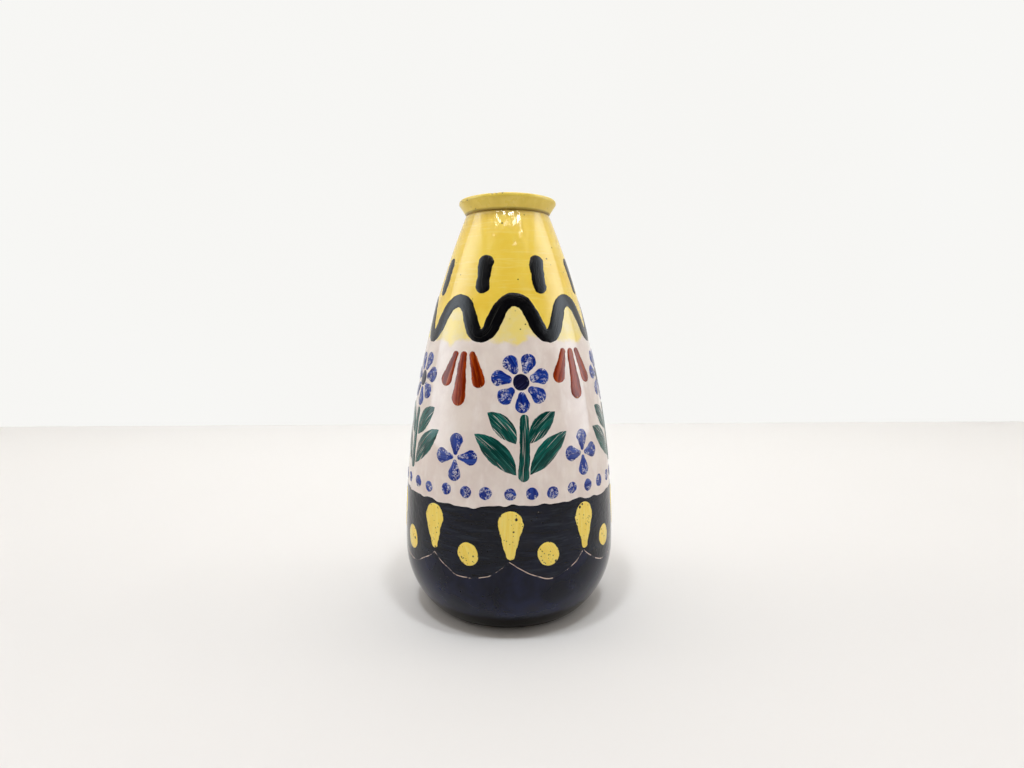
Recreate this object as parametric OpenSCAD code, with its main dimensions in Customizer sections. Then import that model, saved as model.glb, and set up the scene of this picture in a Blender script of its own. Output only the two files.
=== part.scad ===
// Painted vase: a thrown clay body with a luted collar, three glaze colours and raised brush enamel.
// Millimetres, +Z up, origin at the middle of the foot, front of the vase towards -Y.

/* [Vessel] */
// Height from the table to the lip
vase_h = 240; // [218:1:262]
// Largest radius over the glaze
belly_r = 63; // [57:0.5:69]
// Height of the largest radius
belly_z = 38; // [35:0.5:41]
// Radius of the neck over the glaze, at the seam below the collar
neck_size = 24.6; // [22:0.1:27]
// Radius of the outline below the belly
lower_arc = 48.5; // [46:0.5:52]
// Radius of the foot's edge on the table
foot_r = 43; // [41:0.5:45]
// Lean of the turned bevel above the foot, in degrees from the table
bevel_lean = 28; // [24:1:32]

/* [Walls and coats] */
// Thickness of the thrown wall
wall = 5; // [4:0.1:5.6]
// Height of the floor inside, under its glaze
floor_z = 6; // [5:0.1:8]
// Thickness of the outer glaze
glaze_t = 0.5; // [0.35:0.05:0.7]
// Thickness of the glaze inside
liner_t = 0.5; // [0.3:0.05:0.6]
// Thickness of a brush stroke's enamel
paint_t = 0.3; // [0.2:0.05:0.5]
// Inner radius of the foot ring
foot_in = 33; // [28:0.5:35]
// Depth of the recess inside the foot ring
foot_recess = 2; // [1:0.1:2.5]
// Height of bare clay above the table
bare_h = 2.8; // [2.8:0.1:5]

/* [Collar] */
// Height of the collar above its seam with the neck
collar_h = 8.5; // [7.5:0.1:10]
// How far the lip stands out over the neck
lip_out = 3.9; // [3:0.1:5]
// Thickness of the lip over the glaze
lip_t = 5.6; // [5:0.1:6.2]
// Height of the upright band of the lip
lip_band = 2.2; // [1.8:0.1:2.8]
// Rounding of the lip's edges
lip_round = 1.2; // [0.8:0.1:1.4]
// Depth of the stepped seat in the neck
seat_depth = 3; // [2:0.1:4]
// Width of the neck's top that carries the collar
seat_w = 2.4; // [2:0.1:2.8]
// Slip left round the collar's spigot
slip_gap = 0.2; // [0.1:0.05:0.3]

/* [Glaze borders] */
// Share of the body's height below the yellow
yellow_share = 0.6955; // [0.68:0.0005:0.71]
// Share of the body's height below the white
black_share = 0.324; // [0.31:0.002:0.34]

/* [Neck decoration] */
// Turn of the neck's decoration, in degrees
neck_turn = 4.5; // [-20:0.5:20]
// Number of waves round the neck
wave_count = 8; // [7:1:9]
// How far the wave line hangs below the yellow
wave_drop = 2; // [1:0.5:3]
// Height of the wave from lowest edge to highest edge
wave_h = 26.5; // [24:0.5:29]
// Width of the wave line at its bends
wave_w = 7.3; // [5:0.1:7.8]
// Width of the wave line on its slopes
slope_w = 8.5; // [7:0.1:9.2]
// Radius of the wave line's middle at its upper bends
crest_bend = 8; // [7:0.1:9]
// Radius of the wave line's middle at its lower bends
trough_bend = 5.2; // [4.6:0.1:7]
// How far the arches of the wave swell sideways
wave_swell = 1.3; // [0:0.1:2]
// Gap between two strokes of the wave line
wave_gap = 0.2; // [0.1:0.05:0.4]
// Height of the dabs' middle above the lower border of the yellow
dab_rise = 34.5; // [32:0.5:40]
// Length of a dab
dab_len = 20.5; // [16:0.5:22]
// Width of a dab
dab_w = 8.6; // [7:0.1:10]

/* [Frieze] */
// Number of sprigs round the belly
sprig_count = 5; // [4:1:7]
// Turn of the whole frieze, in degrees
frieze_turn = 7; // [-30:1:30]
// Gap between neighbouring strokes
stroke_gap = 0.6; // [0.5:0.1:1]
// Height of the stem's lower end above the black
stem_rise = 13; // [12:0.5:14]
// Length of a stem
stem_len = 34.5; // [31:0.5:38]
// Width of a stem
stem_w = 6; // [4:0.1:6.6]
// Height of the lower pair of leaves above the stem's lower end
low_leaf_rise = 3.5; // [2:0.5:5]
// Length of a lower leaf
low_leaf_len = 30; // [27:0.5:33]
// Width of a lower leaf
low_leaf_w = 11; // [8:0.5:12]
// Length of an upper leaf
high_leaf_len = 22; // [20:0.5:24]
// Width of an upper leaf
high_leaf_w = 10; // [7:0.5:11]
// Gap between a lower and an upper leaf
leaf_gap = 0.6; // [0.4:0.1:1.5]
// Lean of the leaves from upright
leaf_lean = 44; // [41:1:48]
// Gap between a stem and its blossom
blossom_gap = 1; // [0.5:0.1:2]
// Radius of a whole blossom
blossom_r = 15.5; // [14:0.5:17]
// Number of petals
petal_count = 7; // [5:1:8]
// Gap between petals where they are widest
petal_gap = 1.1; // [0.5:0.1:2]
// Radius of the dot in a blossom
centre_r = 4.3; // [3.5:0.1:4.8]
// Gap between a blossom and the yellow
frieze_gap = 6.5; // [6:0.5:8]
// Gap between the buds and the yellow
bud_drop = 6; // [4.5:0.5:8]
// Length of the middle bud
bud_len = 28; // [25:0.5:31]
// Length of a side bud
side_bud_len = 19.5; // [16:0.5:21]
// Width of a bud
bud_w = 8.4; // [6:0.1:9.2]
// Lean of the side buds
bud_lean = 20; // [18:1:24]
// Gap between the bead row and a cross
cross_gap = 2.5; // [2:0.1:4]
// Radius of a whole cross
cross_r = 12.5; // [11:0.5:13.5]
// Width of a dab of the cross
cross_w = 8.4; // [6:0.1:9.2]

/* [Base decoration] */
// Number of beads in the row
bead_count = 32; // [24:1:36]
// Height of the bead row above the black
bead_rise = 6.5; // [5:0.5:7]
// Radius of a bead
bead_r = 3.3; // [2.4:0.1:3.7]
// Number of tongues
tongue_count = 9; // [7:1:10]
// Gap between the tongues and the white
tongue_drop = 2; // [1:0.1:3]
// Length of a tongue
tongue_len = 25; // [20:0.5:27]
// Width of a tongue
tongue_w = 15; // [11:0.5:16.5]
// Height of the base dots above the largest radius
base_dot_rise = 11; // [9:0.5:12]
// Radius of a base dot
base_dot_r = 6.5; // [4.5:0.1:7.2]

/* [Hidden] */
$fn = 96;
// Segments of the large outline circles
fine = 256;
// Azimuth of the front
front = -90;
// Height of the seam between neck and collar
seam_z = vase_h - collar_h;
// Flank's arc through the largest radius and the neck, upright at the first, to half a millimetre
shoulder_w = belly_r - neck_size;
flank_arc = round((pow(seam_z - belly_z, 2) + pow(shoulder_w, 2)) / shoulder_w) / 2;
// Middles of the outline's arcs
flank_x = belly_r - flank_arc;
lower_x = belly_r - lower_arc;
// Radius over the glaze at a height on the flank
function skin_r(z) = flank_x + sqrt(pow(flank_arc, 2) - pow(z - belly_z, 2));
// Radius of the clay's inner face at a height on the flank
function hollow_r(z) =
    flank_x + sqrt(pow(flank_arc - glaze_t - wall, 2) - pow(z - belly_z, 2));
neck_r = skin_r(seam_z);
throat_r = hollow_r(seam_z);
// Radius where the neck's seat steps down
seat_r = neck_r - glaze_t - seat_w;
// Radius of the lip over the glaze, and of the clay's inner face there
lip_r = round(10 * (neck_r + lip_out)) / 10;
lip_in = lip_r - lip_t + glaze_t;
// Height and lean of the collar outside and inside
flare_h = collar_h - lip_band;
flare_out = atan2(lip_r - neck_r, flare_h);
flare_in = atan2(lip_in - throat_r, flare_h);
// Heights where yellow meets white and white meets black
yellow_z = round(10 * yellow_share * seam_z) / 10;
black_z = round(10 * black_share * seam_z) / 10;
// Places of the neck's decoration
wave_z = yellow_z - wave_drop;
dab_z = yellow_z + dab_rise;
// Heights of the frieze's parts above the black, before it is fitted to its band
high_leaf_rise = low_leaf_rise + (low_leaf_w / 2 + high_leaf_w / 2 + leaf_gap) / sin(leaf_lean);
blossom_rise = stem_rise + stem_len + blossom_gap + blossom_r;
cross_rise = bead_rise + bead_r + cross_gap + cross_r;
// Height and width that the frieze needs, and the scale that fits it to its band
frieze_h = blossom_rise + blossom_r + frieze_gap;
sprig_w = 2 * (stem_w / 2 + stroke_gap + low_leaf_len * sin(leaf_lean) + cross_r);
band_h = yellow_z - black_z;
band_w = 2 * PI * skin_r(black_z + cross_rise) / sprig_count;
frieze_k = min(band_h / frieze_h, band_w / sprig_w, 1.2);
// Petals side by side round the blossom
petal_turn = sin(180 / petal_count);
petal_w = (2 * blossom_r * petal_turn - petal_gap) / (1 + petal_turn);
// Middle line of the wave: a cosine with two overtones that give its bends their radii
wave_line_h = wave_h - wave_w;
wave_half = 180 / wave_count;
wave_x = skin_r(wave_z + wave_w / 2) * sin(wave_half);
wave_joint = asin(wave_gap / 2 / skin_r(wave_z));
crest_rise = pow(wave_x / PI + wave_swell, 2) / crest_bend;
trough_rise = pow(wave_x / PI - wave_swell, 2) / trough_bend;
wave_c3 = (wave_line_h - crest_rise - trough_rise) / 16;
wave_c1 = wave_line_h / 2 + wave_c3;
wave_c2 = (crest_rise - trough_rise) / 8;
function wave_y(t) = wave_c1 * cos(t) + wave_c2 * cos(2 * t) - wave_c3 * cos(3 * t);
// Way of the middle line
function wave_run(t) = [
    wave_x / PI + wave_swell * cos(t),
    3 * wave_c3 * sin(3 * t) - wave_c1 * sin(t) - 2 * wave_c2 * sin(2 * t)
];
// Point beside the middle line, at a distance square to it
function wave_point(t, d) =
    [wave_x * t / 180 + wave_swell * sin(t), wave_y(t)]
    + d * [-wave_run(t)[1], wave_run(t)[0]] / norm(wave_run(t));
// Half the width of the wave line along it
function wave_side(t) = (wave_w + (slope_w - wave_w) * pow(sin(t), 2)) / 2;
// Part of the end radius that a dab's straight sides keep to
pinch = 0.96;

// Half section of the closed vessel above a height, its outline moved outwards by d
module vessel_half(d, z0) {
    intersection() {
        translate([flank_x, belly_z]) circle(r = flank_arc + d, $fn = fine);
        translate([0, belly_z]) square([2 * belly_r, vase_h]);
    }
    intersection() {
        translate([lower_x, belly_z]) circle(r = lower_arc + d, $fn = fine);
        square([2 * belly_r, belly_z]);
        translate([0, z0]) square([2 * belly_r, vase_h]);
    }
}

// Half section of the hollow inside, with d of coat on the clay
module hollow_half(d) {
    vessel_half(-glaze_t - wall - d, floor_z + d);
}

// Coat of the flank alone, an exact ring between two arcs
module flank_coat(d0, d1, z0, z1) {
    rotate_extrude() intersection() {
        translate([flank_x, belly_z]) difference() {
            circle(r = flank_arc + d1, $fn = fine);
            circle(r = flank_arc + d0, $fn = fine);
        }
        translate([0, z0]) square([2 * belly_r, z1 - z0]);
    }
}

// Half section of the collar above the seam, moved outwards by d
module collar_half(d) {
    out_low = neck_r - glaze_t + d / cos(flare_out);
    out_top = lip_r - glaze_t + d;
    in_low = throat_r - d / cos(flare_in);
    in_top = lip_in - d;
    top = vase_h - glaze_t + d;
    edge = lip_round - glaze_t + d;
    polygon([
        [in_low, seam_z],
        [out_low, seam_z],
        [out_top, seam_z + flare_h - d * tan(flare_out / 2)],
        [out_top, top - edge],
        [out_top - edge, top],
        [in_top + edge, top],
        [in_top, top - edge],
        [in_top, seam_z + flare_h + d * tan(flare_in / 2)]
    ]);
    translate([out_top - edge, top - edge]) circle(r = edge);
    translate([in_top + edge, top - edge]) circle(r = edge);
}

// Turns an outline into a block that points outwards through the wall at an azimuth and height
module at_wall(azimuth, z) {
    rotate([0, 0, front + azimuth])
        translate([skin_r(z) / 2, 0, z])
            rotate([90, 0, 90])
                linear_extrude(height = skin_r(z)) children();
}

// The same for a motif of the frieze, fitted to its band
module at_frieze(azimuth, rise) {
    at_wall(azimuth, black_z + frieze_k * rise) scale(frieze_k) children();
}

// Keeps what lies in the enamel's thickness on the flank
module enamel() {
    intersection() {
        flank_coat(0, paint_t, belly_z, seam_z);
        union() children();
    }
}

// Brush dab: two round ends and straight sides a little inside them, its first end at the origin
module dab(len, w0, w1) {
    r0 = w0 / 2;
    r1 = w1 / 2;
    span = len - r0 - r1;
    a = asin((r0 - r1) / span);
    side = pinch * [cos(a), sin(a)];
    translate([0, r0]) {
        circle(r = r0);
        translate([0, span]) circle(r = r1);
        polygon([
            r0 * side,
            [0, span] + r1 * side,
            [-r1 * side[0], span + r1 * side[1]],
            [-r0 * side[0], r0 * side[1]]
        ]);
    }
}

// Leaf with two pointed ends, its first end at the origin
module leaf(len, w) {
    r = (len * len + w * w) / (4 * w);
    intersection() {
        translate([r - w / 2, len / 2]) circle(r = r, $fn = fine);
        translate([w / 2 - r, len / 2]) circle(r = r, $fn = fine);
    }
}

// Wave line drawn flat round an upper bend, with its ends past the lower bends
module wave_outline() {
    turns = [-225 : 9 : 225];
    back = [225 : -9 : -225];
    translate([0, -wave_y(180)]) polygon(concat(
        [for (t = turns) wave_point(t, wave_side(t))],
        [for (t = back) wave_point(t, -wave_side(t))]
    ));
}

// Azimuth of a sprig and of the gap after it
function sprig_at(i) = frieze_turn + i * 360 / sprig_count;
function gap_at(i) = frieze_turn + (i + 0.5) * 360 / sprig_count;

module clay_body() {
    bevel_w = vase_h / tan(bevel_lean);
    color("#b98a68") rotate_extrude() difference() {
        intersection() {
            vessel_half(-glaze_t, 0);
            square([2 * belly_r, seam_z]);
            polygon([[0, 0], [foot_r, 0], [foot_r + bevel_w, vase_h], [0, vase_h]]);
        }
        hollow_half(0);
        square([foot_in, foot_recess]);
        translate([0, seam_z - seat_depth]) square([seat_r, 2 * seat_depth]);
    }
}

module rim_collar() {
    color("#b98a68") rotate_extrude() {
        collar_half(0);
        difference() {
            translate([0, seam_z - seat_depth]) square([seat_r - slip_gap, seat_depth]);
            hollow_half(0);
        }
    }
}

module liner_glaze() {
    color("#d8c58a") rotate_extrude() intersection() {
        difference() {
            hollow_half(0);
            hollow_half(liner_t);
        }
        square([2 * belly_r, seam_z - seat_depth]);
    }
}

module collar_glaze() {
    color("#cab055") rotate_extrude() {
        difference() {
            collar_half(glaze_t);
            collar_half(0);
        }
        intersection() {
            difference() {
                hollow_half(0);
                hollow_half(liner_t);
            }
            translate([0, seam_z - seat_depth]) square([2 * belly_r, seat_depth]);
        }
    }
}

module neck_glaze() {
    color("#eac845") flank_coat(-glaze_t, 0, yellow_z, seam_z);
}

module belly_glaze() {
    color("#d8cbc3") flank_coat(-glaze_t, 0, black_z, yellow_z);
}

module base_glaze() {
    color("#2a2b33") rotate_extrude() intersection() {
        difference() {
            vessel_half(0, 0);
            vessel_half(-glaze_t, 0);
        }
        translate([0, bare_h]) square([2 * belly_r, black_z - bare_h]);
    }
}

module neck_dabs() {
    color("#101014") enamel()
        for (i = [0 : wave_count - 1])
            at_wall(neck_turn + (2 * i + 1) * wave_half, dab_z)
                translate([0, -dab_len / 2]) dab(dab_len, dab_w * 0.8, dab_w);
}

module neck_wave() {
    color("#101014")
        for (i = [0 : wave_count - 1])
            intersection() {
                rotate([0, 0, front + neck_turn + (2 * i - 1) * wave_half + wave_joint])
                    rotate_extrude(angle = 2 * wave_half - 2 * wave_joint)
                        intersection() {
                            translate([flank_x, belly_z]) difference() {
                                circle(r = flank_arc + paint_t, $fn = fine);
                                circle(r = flank_arc, $fn = fine);
                            }
                            translate([0, wave_z - wave_w]) square([2 * belly_r, wave_h + 2 * wave_w]);
                        }
                at_wall(neck_turn + 2 * i * wave_half, wave_z + wave_w / 2) wave_outline();
            }
}

module sprig_stems() {
    color("#0d4a41") enamel()
        for (i = [0 : sprig_count - 1])
            at_frieze(sprig_at(i), stem_rise) dab(stem_len, stem_w, stem_w * 0.8);
}

module sprig_leaves() {
    color("#0d4a41") enamel()
        for (i = [0 : sprig_count - 1])
            for (side = [-1, 1]) {
                at_frieze(sprig_at(i), stem_rise + low_leaf_rise)
                    translate([side * (stem_w / 2 + stroke_gap), 0])
                        rotate(-side * leaf_lean) leaf(low_leaf_len, low_leaf_w);
                at_frieze(sprig_at(i), stem_rise + high_leaf_rise)
                    translate([side * (stem_w / 2 + stroke_gap), 0])
                        rotate(-side * leaf_lean) leaf(high_leaf_len, high_leaf_w);
            }
}

module blossom_petals() {
    inner = centre_r + stroke_gap;
    color("#3a5296") enamel()
        for (i = [0 : sprig_count - 1])
            at_frieze(sprig_at(i), blossom_rise)
                for (k = [0 : petal_count - 1])
                    rotate((k + 0.5) * 360 / petal_count)
                        translate([0, inner]) dab(blossom_r - inner, petal_w * 0.5, petal_w);
}

module blossom_centres() {
    color("#191736") enamel()
        for (i = [0 : sprig_count - 1])
            at_frieze(sprig_at(i), blossom_rise) circle(r = centre_r);
}

module rust_buds() {
    color("#7a2407") enamel()
        for (i = [0 : sprig_count - 1])
            at_frieze(gap_at(i), band_h / frieze_k - bud_drop) rotate(180) {
                dab(bud_len, bud_w * 0.5, bud_w);
                for (side = [-1, 1])
                    translate([side * bud_w * 0.55, 0])
                        rotate(-side * bud_lean) dab(side_bud_len, bud_w * 0.45, bud_w * 0.9);
            }
}

module blue_crosses() {
    inner = 2 * stroke_gap;
    color("#3a5296") enamel()
        for (i = [0 : sprig_count - 1])
            at_frieze(gap_at(i), cross_rise)
                for (k = [0 : 3])
                    rotate(k * 90) translate([0, inner]) dab(cross_r - inner, cross_w * 0.3, cross_w);
}

module bead_row() {
    color("#3a5296") enamel()
        for (i = [0 : bead_count - 1])
            at_frieze(i * 360 / bead_count, bead_rise) circle(r = bead_r);
}

module base_tongues() {
    color("#ddbf5b") enamel()
        for (i = [0 : tongue_count - 1])
            at_wall(i * 360 / tongue_count, black_z - tongue_drop)
                rotate(180) dab(tongue_len, tongue_w, tongue_w * 0.35);
}

module base_dots() {
    color("#ddbf5b") enamel()
        for (i = [0 : tongue_count - 1])
            at_wall((i + 0.5) * 360 / tongue_count, belly_z + base_dot_rise) circle(r = base_dot_r);
}

clay_body();
rim_collar();
liner_glaze();
collar_glaze();
neck_glaze();
belly_glaze();
base_glaze();
neck_dabs();
neck_wave();
sprig_stems();
sprig_leaves();
blossom_petals();
blossom_centres();
rust_buds();
blue_crosses();
bead_row();
base_tongues();
base_dots();
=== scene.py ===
import math

import bpy
import numpy as np
from mathutils import Matrix, Vector


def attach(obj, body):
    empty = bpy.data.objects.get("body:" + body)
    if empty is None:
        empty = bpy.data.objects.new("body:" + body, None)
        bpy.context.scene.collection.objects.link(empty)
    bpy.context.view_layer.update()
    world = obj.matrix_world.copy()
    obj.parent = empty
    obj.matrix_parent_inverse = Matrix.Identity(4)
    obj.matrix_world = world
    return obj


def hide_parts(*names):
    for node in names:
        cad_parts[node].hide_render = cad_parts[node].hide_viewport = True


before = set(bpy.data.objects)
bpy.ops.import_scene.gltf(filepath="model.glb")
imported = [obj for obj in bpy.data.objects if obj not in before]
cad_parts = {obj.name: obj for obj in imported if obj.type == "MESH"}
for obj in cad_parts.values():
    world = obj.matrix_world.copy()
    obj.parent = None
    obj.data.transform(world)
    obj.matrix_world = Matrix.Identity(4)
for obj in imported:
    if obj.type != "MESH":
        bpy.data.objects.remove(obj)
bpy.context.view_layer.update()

# Sizes of the vessel in millimetres, over the glaze
MM = 0.001
VASE_H = 240.0
BELLY_R, BELLY_Z = 63.0, 38.0
FLANK_ARC, LOWER_ARC = 506.5, 48.5
SEAM_Z = 231.5
LIP_R, LIP_T, LIP_BAND, LIP_ROUND = 28.5, 5.6, 2.2, 1.2
WALL, GLAZE_T, PAINT_T = 5.0, 0.5, 0.27
BARE_H = 2.8
YELLOW_Z, BLACK_Z = 161.0, 75.0
# How deep the back of a coat and of a stroke lies, and half the width of a stroke's tip
COAT_DEPTH, PAINT_DEPTH, THIN_END = 0.34, 0.1, 0.06

# The painted rings
NECK_TURN = math.radians(4.5)
WAVE_COUNT, WAVE_Z, WAVE_H, WAVE_W, SLOPE_W = 8, 159.0, 26.5, 7.3, 8.5
CREST_BEND, TROUGH_BEND, SWELL, WAVE_REACH = 8.0, 5.2, 1.3, 1.06
DAB_Z, DAB_LEN, DAB_W = 195.5, 20.5, 8.6
SPRIG_COUNT, FRIEZE_TURN, STROKE_GAP = 5, math.radians(7), 0.6
STEM_Z, STEM_LEN, STEM_W = 88.0, 34.5, 6.0
LEAF_LEAN, LEAF_BEND, LEAF_ROOT_Z = 44.0, 1.2, 100.0
LEAVES = ((91.5, 30.0, 11.0), (107.48, 22.0, 10.0))
BLOSSOM_Z, BLOSSOM_R, PETAL_COUNT, PETAL_W, CENTRE_R = 139.0, 15.5, 7, 8.6, 4.3
BUD_Z, BUD_LEN, SIDE_BUD_LEN, BUD_W, BUD_LEAN = 155.0, 28.0, 19.5, 8.4, 20.0
CROSS_Z, CROSS_R, CROSS_W, CROSS_ARMS = 99.8, 12.5, 8.4, 4
BEAD_COUNT, BEAD_Z, BEAD_R = 32, 81.5, 3.3
TONGUE_COUNT, TONGUE_Z, TONGUE_LEN, TONGUE_W = 9, 73.0, 25.0, 15.0
BASE_DOT_Z, BASE_DOT_R = 49.0, 6.5
GARLAND_Z, GARLAND_SAG = 46.0, 10.0
# Painted shade on the black glaze: the height where it starts to darken towards the heel, and where it
# is darkest
HEEL_SHADE_TOP, HEEL_SHADE_FULL = 14.0, 9.5

# Points round a ring, a full turn, and the angle in degrees from which an edge is sharp
ROUND = 288
TURN = 2 * math.pi
SHARP = 50
rng = np.random.RandomState(7)


def jitter(size):
    """A small unevenness of the hand."""
    return rng.uniform(-size, size)


# Shape of the surface

def skin_radius(z):
    """Radius over the glaze at a height."""
    dz = np.asarray(z, float) - BELLY_Z
    upper = BELLY_R - FLANK_ARC + np.sqrt(FLANK_ARC ** 2 - dz ** 2)
    lower = BELLY_R - LOWER_ARC + np.sqrt(np.maximum(LOWER_ARC ** 2 - dz ** 2, 0))
    return np.where(dz > 0, upper, lower)


def skin_lean(z):
    """Upward lean of the surface normal at a height, in radians."""
    dz = np.asarray(z, float) - BELLY_Z
    return np.where(dz > 0, np.arcsin(dz / FLANK_ARC), np.arcsin(np.clip(dz / LOWER_ARC, -1, 1)))


def wobble(phi, z):
    """Small unevenness of a hand-thrown wall, always inwards."""
    lumps = 0.08 * np.cos(2 * phi + 0.7 + z / 70) + 0.05 * np.cos(3 * phi - 1.1 + z / 31)
    rings = 0.004 * np.sin(z / 2.6 + 0.9 * np.sin(phi)) + 0.008 * np.sin(z / 5.3 - 2 * np.cos(phi))
    return lumps + rings - 0.2


def on_skin(phi, z, lift):
    """Points in metres at an azimuth, a height and a distance above the glaze."""
    phi, z, lift = np.broadcast_arrays(*(np.asarray(v, float) for v in (phi, z, lift)))
    lean = skin_lean(z)
    out = lift + wobble(phi, z)
    r = skin_radius(z) + out * np.cos(lean)
    return np.stack([r * np.sin(phi), -r * np.cos(phi), z + out * np.sin(lean)], -1) * MM


# Mesh helpers

def make_piece(name, points, faces, node, material, maps=None, values=None):
    """A closed mesh that stands for a CAD node."""
    mesh = bpy.data.meshes.new(name)
    mesh.from_pydata(points.tolist(), [], faces)
    corner = np.zeros(len(mesh.loops), np.int32)
    mesh.loops.foreach_get("vertex_index", corner)
    for map_name, uv in (maps or {}).items():
        layer = mesh.uv_layers.new(name=map_name)
        layer.data.foreach_set("uv", uv[corner].astype(np.float32).ravel())
    for value_name, data in (values or {}).items():
        attribute = mesh.attributes.new(value_name, "FLOAT", "POINT")
        attribute.data.foreach_set("value", np.asarray(data, np.float32).ravel())
    mesh.shade_smooth()
    mesh.set_sharp_from_angle(angle=math.radians(SHARP))
    mesh.materials.append(material)
    piece = bpy.data.objects.new(name, mesh)
    bpy.context.scene.collection.objects.link(piece)
    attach(piece, "root")
    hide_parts(node)


def grid_faces(rows, columns, start=0, flip=False):
    """Quads of a grid of vertices, row after row."""
    faces = []
    for i in range(rows - 1):
        for j in range(columns - 1):
            a = start + i * columns + j
            quad = (a, a + 1, a + columns + 1, a + columns)
            faces.append(quad[::-1] if flip else quad)
    return faces


def tube_faces(rows, columns):
    """Quads of a ring whose section is a closed loop of rows."""
    faces = []
    for i in range(rows):
        m = (i + 1) % rows
        for j in range(columns):
            k = (j + 1) % columns
            faces.append((i * columns + j, i * columns + k, m * columns + k, m * columns + j))
    return faces


def shell_faces(count, across):
    """Faces of a thin closed shell: a grid on top, its copy below and a wall round both."""
    n = count * across
    faces = grid_faces(count, across) + grid_faces(count, across, n, flip=True)
    rim = list(range(across)) + [i * across + across - 1 for i in range(1, count)]
    rim += [(count - 1) * across + j for j in range(across - 2, -1, -1)]
    rim += [i * across for i in range(count - 2, 0, -1)]
    for a, b in zip(rim, rim[1:] + rim[:1]):
        faces.append((b, a, n + a, n + b))
    return faces


def swaying(half, length, wander, hand):
    """Half widths along one edge of a stroke, with the sway of the hand."""
    sway = sum(np.sin(f * length + hand.uniform(0, TURN)) * hand.uniform(0.5, 1) / (1 + f)
               for f in (0.35, 0.8, 1.7, 3.1))
    return half + wander * sway * np.clip(half / 1.2, 0, 1)


def bristle_ridges(offset, length, hand):
    """Fine ridges that the bristles leave along a stroke, about 1 high."""
    return sum(np.sin(offset * f + hand.uniform(0, TURN) + 0.15 * np.sin(length * 0.3 + f))
               for f in (2.1, 3.4, 4.7, 6.3)) / 4


def stroke(path, half, seed, across=13, wander=0.24, lift=PAINT_T):
    """A brush stroke on the skin: path holds (azimuth, height) points, half its half widths in mm."""
    path, half = np.asarray(path, float), np.asarray(half, float)
    hand = np.random.RandomState(seed)
    count = len(path)
    radius = skin_radius(path[:, 1])
    run = np.gradient(path, axis=0) * np.stack([radius, np.ones(count)], 1)
    step = np.hypot(run[:, 0], run[:, 1])
    run /= step[:, None]
    length = np.concatenate([[0], np.cumsum((step[1:] + step[:-1]) / 2)])
    across_at = -np.cos(np.linspace(0, np.pi, across))
    left, right = [swaying(half, length, wander, hand)[:, None] for _ in range(2)]
    offset = across_at * np.where(across_at < 0, left, right)
    phi = path[:, :1] + offset * run[:, 1:] / radius[:, None]
    z = path[:, 1:] - offset * run[:, :1]
    # The paint lies thinner where the stroke is narrow
    load = np.clip(half / (0.4 * half.max()), 0.35, 1)[:, None]
    ridges = 1 + 0.14 * bristle_ridges(offset, length[:, None], hand)
    top = lift * load * (1 - np.abs(across_at) ** 4) * ridges - 0.008
    shell = [on_skin(phi, z, rise).reshape(-1, 3) for rise in (top, -PAINT_DEPTH)]
    brush = np.stack([np.broadcast_to(length[:, None], offset.shape), offset], -1).reshape(-1, 2)
    brush = brush + hand.uniform(-400, 400, 2)
    shares = np.meshgrid(np.linspace(0, 1, count), (across_at + 1) / 2, indexing="ij")
    span = np.stack(shares, -1).reshape(-1, 2)
    return (np.concatenate(shell), shell_faces(count, across), np.concatenate([brush, brush]),
            np.concatenate([span, span]))


def paint(name, strokes, node, material):
    """One piece from a list of strokes."""
    points, faces, brush, span, start = [], [], [], [], 0
    for stroke_points, stroke_faces, stroke_brush, stroke_span in strokes:
        points.append(stroke_points)
        brush.append(stroke_brush)
        span.append(stroke_span)
        faces += [tuple(i + start for i in face) for face in stroke_faces]
        start += len(stroke_points)
    maps = {"Brush": np.concatenate(brush), "Span": np.concatenate(span)}
    make_piece(name, np.concatenate(points), faces, node, material, maps)


def line_from(azimuth, z, turn, along, bend=0.0):
    """Path of a stroke from an anchor on the wall, leaning right by turn, with a sideways bend."""
    share = (along - along[0]) / (along[-1] - along[0])
    sideways = bend * np.sin(np.pi * share)
    right = along * math.sin(turn) + sideways * math.cos(turn)
    height = z + along * math.cos(turn) - sideways * math.sin(turn)
    return np.stack([azimuth + np.arcsin(right / skin_radius(height)), height], 1)


def end_spaced(length, count):
    """Distances along a stroke, closer together towards its ends."""
    return length * (1 - np.cos(np.linspace(0, np.pi, count))) / 2


def dab(azimuth, z, turn, start, length, w0, w1, seed, bend=0.0, pinch=0.0, wander=0.24):
    """A dab with two round ends that grows from w0 to w1."""
    s = end_spaced(length, max(18, int(length * 1.6)))
    r0, r1 = w0 / 2, w1 / 2
    body = r0 + (r1 - r0) * np.clip((s - r0) / max(length - r0 - r1, 0.01), 0, 1)
    first = np.sqrt(np.maximum(r0 ** 2 - np.maximum(r0 - s, 0) ** 2, 0)) / r0
    last = np.sqrt(np.maximum(r1 ** 2 - np.maximum(s - (length - r1), 0) ** 2, 0)) / r1
    half = body * first * last * (1 - pinch * np.exp(-((s / length - 0.45) / 0.13) ** 2))
    path = line_from(azimuth, z, turn, start + s, bend)
    return stroke(path, np.maximum(half, THIN_END), seed, wander=wander)


def leaf(azimuth, z, turn, length, width, seed, bend=0.0):
    """A leaf between two arcs, pressed in the middle and pointed at its ends."""
    s = end_spaced(length, 34)
    arc = (length ** 2 + width ** 2) / (4 * width)
    half = np.sqrt(arc ** 2 - (s - length / 2) ** 2) - (arc - width / 2)
    return stroke(line_from(azimuth, z, turn, s, bend), np.maximum(half, THIN_END), seed)


# Materials

def srgb(r, g, b):
    """Linear colour from picture values of 0 to 255."""
    def one(c):
        c /= 255.0
        return c / 12.92 if c <= 0.04045 else ((c + 0.055) / 1.055) ** 2.4
    return (one(r), one(g), one(b), 1.0)


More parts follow.
